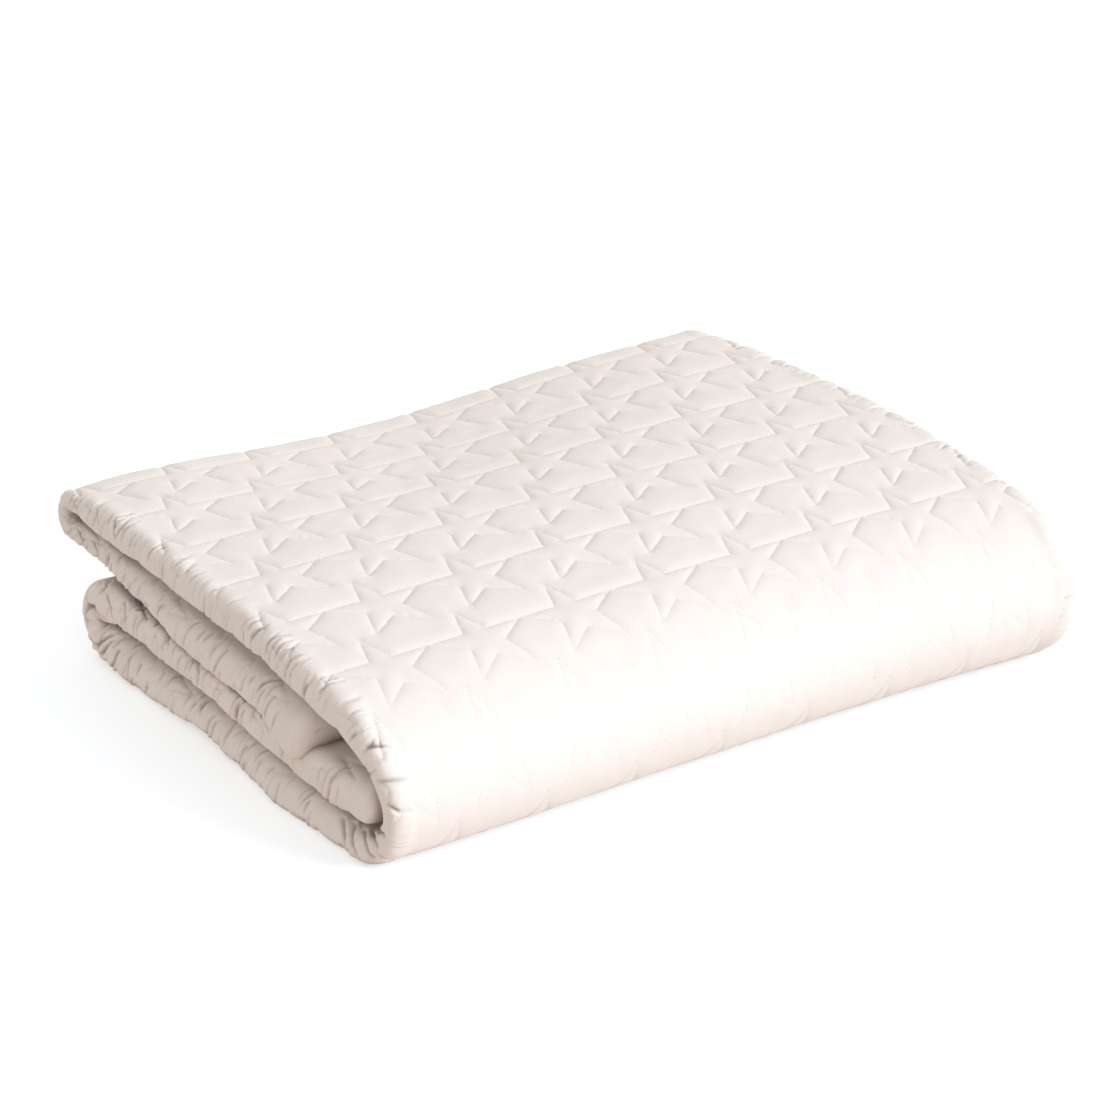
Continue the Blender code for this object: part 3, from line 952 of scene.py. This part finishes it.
def studio(stage):
    """White surroundings, with the warmer light that a floor throws up from below."""
    world = bpy.data.worlds.new("White studio")
    world.use_nodes = True
    tree = world.node_tree
    link = tree.links.new
    way = tree.nodes.new("ShaderNodeTexCoord")
    parts = tree.nodes.new("ShaderNodeSeparateXYZ")
    height = tree.nodes.new("ShaderNodeMapRange")
    height.inputs["From Min"].default_value = -HORIZON
    height.inputs["From Max"].default_value = HORIZON
    shade = tree.nodes.new("ShaderNodeMix")
    shade.data_type = "RGBA"
    shade.inputs[6].default_value = (*stage.ground, 1)
    shade.inputs[7].default_value = (*stage.sky, 1)
    link(way.outputs["Generated"], parts.inputs["Vector"])
    link(parts.outputs["Z"], height.inputs["Value"])
    link(height.outputs["Result"], shade.inputs[0])
    link(shade.outputs[2], tree.nodes["Background"].inputs["Color"])
    return world


def key_light(stage):
    """A soft light from the front right, as from a big window."""
    turn = math.radians(KEY_TURN)
    rise = math.radians(KEY_RISE)
    way = Vector((math.sin(turn) * math.cos(rise), -math.cos(turn) * math.cos(rise), math.sin(rise)))
    bpy.ops.object.light_add(type="SUN", location=3 * way)
    sun = bpy.context.object
    sun.name = "key_light"
    sun.rotation_euler = way.to_track_quat("Z", "Y").to_euler()
    sun.data.energy = stage.key
    sun.data.angle = math.radians(KEY_SPREAD)
    sun.data.color = stage.key_colour


def placed(mesh, material, name):
    """A new piece at the origin, with its place in its mesh."""
    mesh.materials.append(material)
    piece = bpy.data.objects.new(name, mesh)
    bpy.context.scene.collection.objects.link(piece)
    return piece


def stitch_mesh(strip, sizes):
    """Every stitch that shows, as a short spindle along its seam."""
    middles = []
    ways = []
    for start, end in star_seams(strip):
        way = end - start
        length = np.linalg.norm(way)
        count = round(length / sizes.stitch_pitch)
        shares = (np.arange(count) + 0.5) / count
        middles.append(start + shares[:, None] * way)
        ways.append(np.tile(way / length, (count, 1)))
    middle = np.concatenate(middles)
    way = np.concatenate(ways)
    shown = quilted_share(strip, middle) > 0.3
    middle = middle[shown]
    way = way[shown]
    side = np.stack([-way[:, 1], way[:, 0]], axis=1)
    half = sizes.stitch_length / 2
    thick = sizes.thread_width / 2
    drop = crease_drop(middle, roll_creases(strip, star_seams(strip), sizes))
    seam = skin_lift(strip, middle, np.zeros(len(middle)), drop, sizes)
    corners = (
        (middle - half * way, seam - thick),
        (middle + thick * side, seam + thick / 2),
        (middle, seam + 1.6 * thick),
        (middle - thick * side, seam + thick / 2),
        (middle, seam - thick),
        (middle + half * way, seam - thick),
    )
    spots = np.stack([strip.place(flat[:, 0], flat[:, 1], lift) for flat, lift in corners], axis=1)
    faces = np.array([(0, 1, 2), (0, 2, 3), (0, 3, 4), (0, 4, 1), (5, 2, 1), (5, 3, 2), (5, 4, 3), (5, 1, 4)])
    count = len(middle)
    every = (faces[None] + 6 * np.arange(count)[:, None, None]).reshape(-1, 3)
    mesh = bpy.data.meshes.new("Stitches")
    mesh.from_pydata(spots.reshape(-1, 3).tolist(), [], every.tolist())
    mesh.validate()
    skin = bmesh.new()
    skin.from_mesh(mesh)
    bmesh.ops.recalc_face_normals(skin, faces=skin.faces)
    skin.to_mesh(mesh)
    skin.free()
    mesh.shade_smooth()
    return mesh


class ComforterSizes(bpy.types.PropertyGroup):
    seam_depth: FloatProperty(name="Seam depth", description="Depth of the narrow groove at a seam",
                              default=0.0009, unit="LENGTH")
    seam_width: FloatProperty(name="Seam width", description="Way in which most of the groove rises",
                              default=0.0010, unit="LENGTH")
    padding: FloatProperty(name="Padding", description="Height of the soft crown between seams",
                           default=0.0007, unit="LENGTH")
    padding_reach: FloatProperty(name="Padding reach", description="Way from a seam to the crown's full height",
                                 default=0.014, unit="LENGTH")
    plain_puff: FloatProperty(name="Plain puff", description="Height of the filling on the hidden faces",
                              default=0.0015, unit="LENGTH")
    wave_height: FloatProperty(name="Waves", description="Height of the low waves in the filling",
                               default=0.0007, unit="LENGTH")
    roll_swell: FloatProperty(name="Roll swell", description="Extra padding on the end rolls, as a share",
                              default=0.60)
    roll_inset: FloatProperty(name="Roll inset", description="How far the rolls draw in on their inner side",
                              default=0.0020, unit="LENGTH")
    crease_depth: FloatProperty(name="Creases", description="Depth of the deepest creases on the end rolls",
                                default=0.0022, unit="LENGTH")
    taut_share: FloatProperty(name="Taut front", description="Share of the padding that the front presses out",
                              default=0.88, subtype="FACTOR")
    pull_depth: FloatProperty(name="Pulls", description="Depth of the faint upright pulls in the front",
                              default=0.0003, unit="LENGTH")
    under_groove: FloatProperty(name="Under groove", description="Depth of the seams underneath",
                                default=0.0015, unit="LENGTH")
    slack: FloatProperty(name="Slack", description="Extra cloth between the seams, as a share",
                         default=0.003)
    roll_slack: FloatProperty(name="Roll slack", description="Extra cloth on the end rolls, as a share",
                              default=0.025)
    pressure: FloatProperty(name="Pressure", description="Push of the filling in the simulation",
                            default=0.4)
    settle_frames: IntProperty(name="Settle frames", description="Frames that the simulation runs",
                               default=12)
    settle_cap: FloatProperty(name="Settle cap", description="Furthest that the simulation moves a point",
                              default=0.003, unit="LENGTH")
    even_passes: IntProperty(name="Evening", description="Passes that even out what the simulation moved",
                             default=2)
    stitch_pitch: FloatProperty(name="Stitch pitch", description="Way from one stitch to the next",
                                default=0.0034, unit="LENGTH")
    stitch_length: FloatProperty(name="Stitch length", description="Length of one stitch",
                                 default=0.0026, unit="LENGTH")
    thread_width: FloatProperty(name="Thread width", description="Width of the sewing thread",
                                default=0.0006, unit="LENGTH")


class ComforterColours(bpy.types.PropertyGroup):
    cotton: FloatVectorProperty(name="Cotton", description="Colour of the cotton",
                                default=(0.76, 0.705, 0.665), subtype="COLOR", min=0, max=1)
    cotton_warm: FloatVectorProperty(name="Warm cotton", description="Colour of its warmer patches",
                                     default=(0.745, 0.685, 0.64), subtype="COLOR", min=0, max=1)
    # Painted shade: the dark colour that the cotton is mixed towards down in creases, between the layers and along the
    # floor
    crease: FloatVectorProperty(name="Crease", description="Colour down in the creases",
                                default=(0.34, 0.28, 0.24), subtype="COLOR", min=0, max=1)
    thread: FloatVectorProperty(name="Thread", description="Colour of the sewing thread",
                                default=(0.92, 0.89, 0.87), subtype="COLOR", min=0, max=1)


class ComforterStage(bpy.types.PropertyGroup):
    floor: FloatVectorProperty(name="Floor", description="Colour of the floor",
                               default=(0.835, 0.90, 0.95), subtype="COLOR", min=0, max=1)
    key: FloatProperty(name="Key light", description="Strength of the light from the front right",
                       default=2.75)
    key_colour: FloatVectorProperty(name="Key colour", description="Colour of the key light",
                                    default=(0.79, 0.90, 1.0), subtype="COLOR", min=0, max=1)
    sky: FloatVectorProperty(name="Sky", description="Light of the surroundings above",
                             default=(0.825, 0.797, 0.770), subtype="COLOR", min=0, max=1)
    ground: FloatVectorProperty(name="Ground", description="Light that the floor throws up",
                                default=(0.885, 0.76, 0.685), subtype="COLOR", min=0, max=1)


class COMFORTER_OT_cloth(bpy.types.Operator):
    """Make the quilted comforter, folded in its layers"""
    bl_idname = "comforter.cloth"
    bl_label = "Comforter"

    def execute(self, context):
        strip = Strip()
        sizes = context.scene.comforter_sizes
        mesh = skin_mesh(strip, sizes)
        body = placed(mesh, cotton(context.scene.comforter_colours), "quilted_comforter")
        settle(body, sizes)
        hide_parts("comforter")
        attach(body, "root")
        return {"FINISHED"}


class COMFORTER_OT_stitches(bpy.types.Operator):
    """Make the stitches of the sewn stars"""
    bl_idname = "comforter.stitches"
    bl_label = "Stitches"

    def execute(self, context):
        mesh = stitch_mesh(Strip(), context.scene.comforter_sizes)
        stitches = placed(mesh, thread(context.scene.comforter_colours), "star_stitches")
        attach(stitches, "root")
        return {"FINISHED"}


class COMFORTER_OT_stage(bpy.types.Operator):
    """Make the pale floor, the soft lights and the camera"""
    bl_idname = "comforter.stage"
    bl_label = "Stage"

    def execute(self, context):
        stage = context.scene.comforter_stage
        bpy.ops.object.select_all(action="DESELECT")
        bpy.ops.mesh.primitive_plane_add(size=24)
        floor = context.object
        floor.name = "floor"
        material = bpy.data.materials.new("Pale floor")
        material.use_nodes = True
        shader = material.node_tree.nodes["Principled BSDF"]
        shader.inputs["Base Color"].default_value = (*stage.floor, 1)
        shader.inputs["Roughness"].default_value = 0.9
        shader.inputs["Emission Color"].default_value = (1, 1, 1, 1)
        shader.inputs["Emission Strength"].default_value = 0.37
        floor.data.materials.append(material)
        floor.visible_diffuse = False
        context.scene.world = studio(stage)
        key_light(stage)
        bpy.ops.object.camera_add(location=(-1.62147, -2.42271, 1.44142))
        camera = context.object
        camera.name = "photo_camera"
        camera.rotation_euler = (math.radians(64.9), 0, math.radians(-33.7))
        camera.data.lens = 131.5
        camera.data.sensor_width = 36
        context.scene.camera = camera
        context.scene.view_settings.view_transform = "Standard"
        return {"FINISHED"}


class COMFORTER_PT_panel(bpy.types.Panel):
    """Shows the comforter's settings and the buttons that make its pieces in the sidebar"""
    bl_idname = "COMFORTER_PT_panel"
    bl_label = "Comforter"
    bl_space_type = "VIEW_3D"
    bl_region_type = "UI"
    bl_category = "Comforter"

    def draw(self, context):
        layout = self.layout
        for group in (context.scene.comforter_sizes, context.scene.comforter_colours,
                      context.scene.comforter_stage):
            for name in group.__annotations__:
                layout.prop(group, name)
        for operator in OPERATORS:
            layout.operator(operator.bl_idname)


GROUPS = {
    "comforter_sizes": ComforterSizes,
    "comforter_colours": ComforterColours,
    "comforter_stage": ComforterStage,
}
OPERATORS = (COMFORTER_OT_cloth, COMFORTER_OT_stitches, COMFORTER_OT_stage)


def register():
    for name, group in GROUPS.items():
        bpy.utils.register_class(group)
        setattr(bpy.types.Scene, name, PointerProperty(type=group))
    for operator in OPERATORS:
        bpy.utils.register_class(operator)
    bpy.utils.register_class(COMFORTER_PT_panel)


def unregister():
    bpy.utils.unregister_class(COMFORTER_PT_panel)
    for operator in reversed(OPERATORS):
        bpy.utils.unregister_class(operator)
    for name, group in GROUPS.items():
        delattr(bpy.types.Scene, name)
        bpy.utils.unregister_class(group)


def main():
    register()
    bpy.ops.comforter.cloth()
    bpy.ops.comforter.stitches()
    bpy.ops.comforter.stage()


if __name__ == "__main__":
    main()
